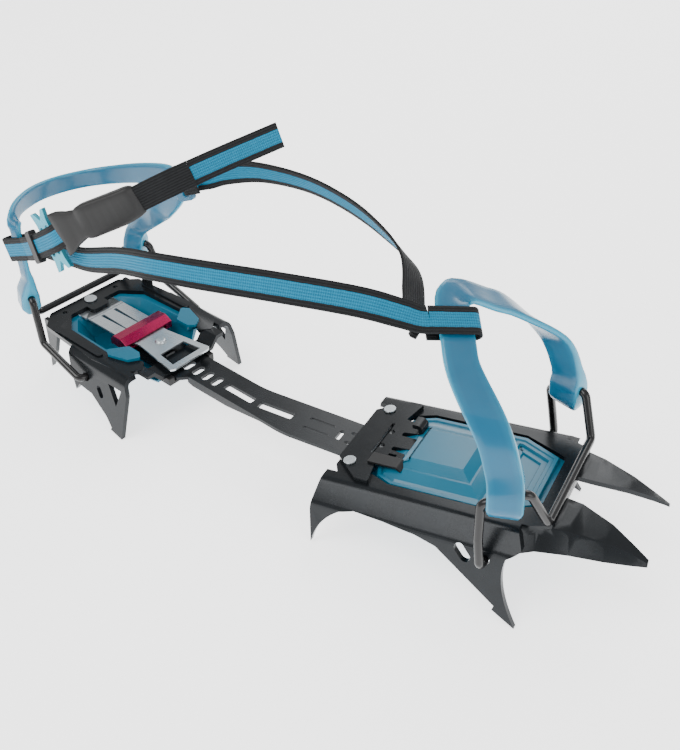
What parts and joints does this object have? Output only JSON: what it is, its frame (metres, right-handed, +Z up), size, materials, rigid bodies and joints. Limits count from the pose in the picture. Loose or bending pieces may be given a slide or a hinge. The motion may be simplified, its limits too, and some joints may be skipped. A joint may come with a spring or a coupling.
{
  "type": "strap-on crampon",
  "caption": "Right-foot mountaineering crampon: pierced steel toe and heel frames on a slotted link bar, blue anti-snow plates, wire bails, moulded cages and a webbing ankle strap.",
  "frame": {"origin": "on the ground under the hinge between the link bar and the toe frame", "axes": "+X towards the toe points, +Y towards the inner side of the foot, +Z up"},
  "size_m": [0.3524, 0.1203, 0.165],
  "materials": {
    "frame_steel": "dark satin, slightly worn",
    "bar_steel": "dark satin",
    "plate_plastic": "blue moulded elastomer, satin",
    "cage_plastic": "translucent blue elastomer",
    "bright_steel": "bright satin",
    "wire_steel": "black",
    "black_plastic": "matt",
    "slider_metal": "magenta anodised",
    "webbing": "woven, cyan centre stripe on one face",
    "buckle_metal": "pale teal anodised",
    "grip_rubber": "moulded, matt"
  },
  "bodies": {
    "front_frame": {"front_frame": "frame_steel", "front_plate": "plate_plastic", "front_bracket": "frame_steel", "bracket_rivet_right": "bright_steel", "bracket_rivet_left": "bright_steel", "hinge_pin": "bright_steel", "bracket_clip": "black_plastic"},
    "link_bar": {"link_bar": "bar_steel"},
    "rear_frame": {"rear_frame": "frame_steel", "bar_guide_right": "black_plastic", "bar_guide_left": "black_plastic", "rear_plate": "plate_plastic", "spring_base": "bright_steel", "spring_rivet": "bright_steel"},
    "lock_lever": {"lock_lever": "bright_steel", "lock_stud": "bright_steel"},
    "lock_slider": {"lock_slider": "slider_metal"},
    "toe_bail": {"toe_bail": "wire_steel"},
    "toe_cage": {"toe_cage": "cage_plastic", "strap_toe_fold": "webbing"},
    "heel_bail": {"heel_bail": "wire_steel"},
    "heel_cage": {"heel_cage": "cage_plastic", "strap_heel_fold": "webbing", "strap_eye_fold": "webbing", "strap_return": "webbing", "buckle_plate": "buckle_metal", "strap_keeper": "black_plastic", "strap_grip": "grip_rubber", "strap_tail": "webbing", "strap_right_run": "webbing", "strap_left_run": "webbing"}
  },
  "joints": [
    {"name": "bar_hinge", "type": "hinge", "parent": "front_frame", "child": "link_bar", "pos_m": [0, 0, 0.026], "axis": [0, 1, 0], "range_deg": [-12, 3], "deforming": ["strap_right_run", "strap_left_run"]},
    {"name": "size_slide", "type": "slide", "parent": "link_bar", "child": "rear_frame", "axis": [0.9789, -0.2045, 0], "range_m": [-0.0288, 0.0144], "deforming": ["strap_right_run", "strap_left_run"]},
    {"name": "lever_hinge", "type": "hinge", "parent": "rear_frame", "child": "lock_lever", "pos_m": [-0.18491, 0.02413, 0.0327], "axis": [0.2045, 0.9789, 0], "range_deg": [-8, 1.5]},
    {"name": "slider_slide", "type": "slide", "parent": "lock_lever", "child": "lock_slider", "axis": [-0.9789, 0.2045, 0], "range_m": [0, 0.018]},
    {"name": "toe_bail_hinge", "type": "hinge", "parent": "front_frame", "child": "toe_bail", "pos_m": [0.0735, 0, 0.0292], "axis": [0, 1, 0], "range_deg": [-18, 2], "deforming": ["strap_right_run", "strap_left_run"]},
    {"name": "toe_cage_hinge", "type": "hinge", "parent": "toe_bail", "child": "toe_cage", "pos_m": [0.07775, 0, 0.06425], "axis": [0, 1, 0], "range_deg": [-4, 4], "deforming": ["strap_right_run", "strap_left_run"]},
    {"name": "heel_bail_hinge", "type": "hinge", "parent": "rear_frame", "child": "heel_bail", "pos_m": [-0.15554, 0.018, 0.024], "axis": [0.2045, 0.9789, 0], "range_deg": [-8, 14], "deforming": ["strap_right_run", "strap_left_run"]},
    {"name": "heel_cage_hinge", "type": "hinge", "parent": "heel_bail", "child": "heel_cage", "pos_m": [-0.19983, 0.02725, 0.05425], "axis": [0.2045, 0.9789, 0], "range_deg": [-4, 4], "deforming": ["strap_right_run", "strap_left_run"]}
  ]
}
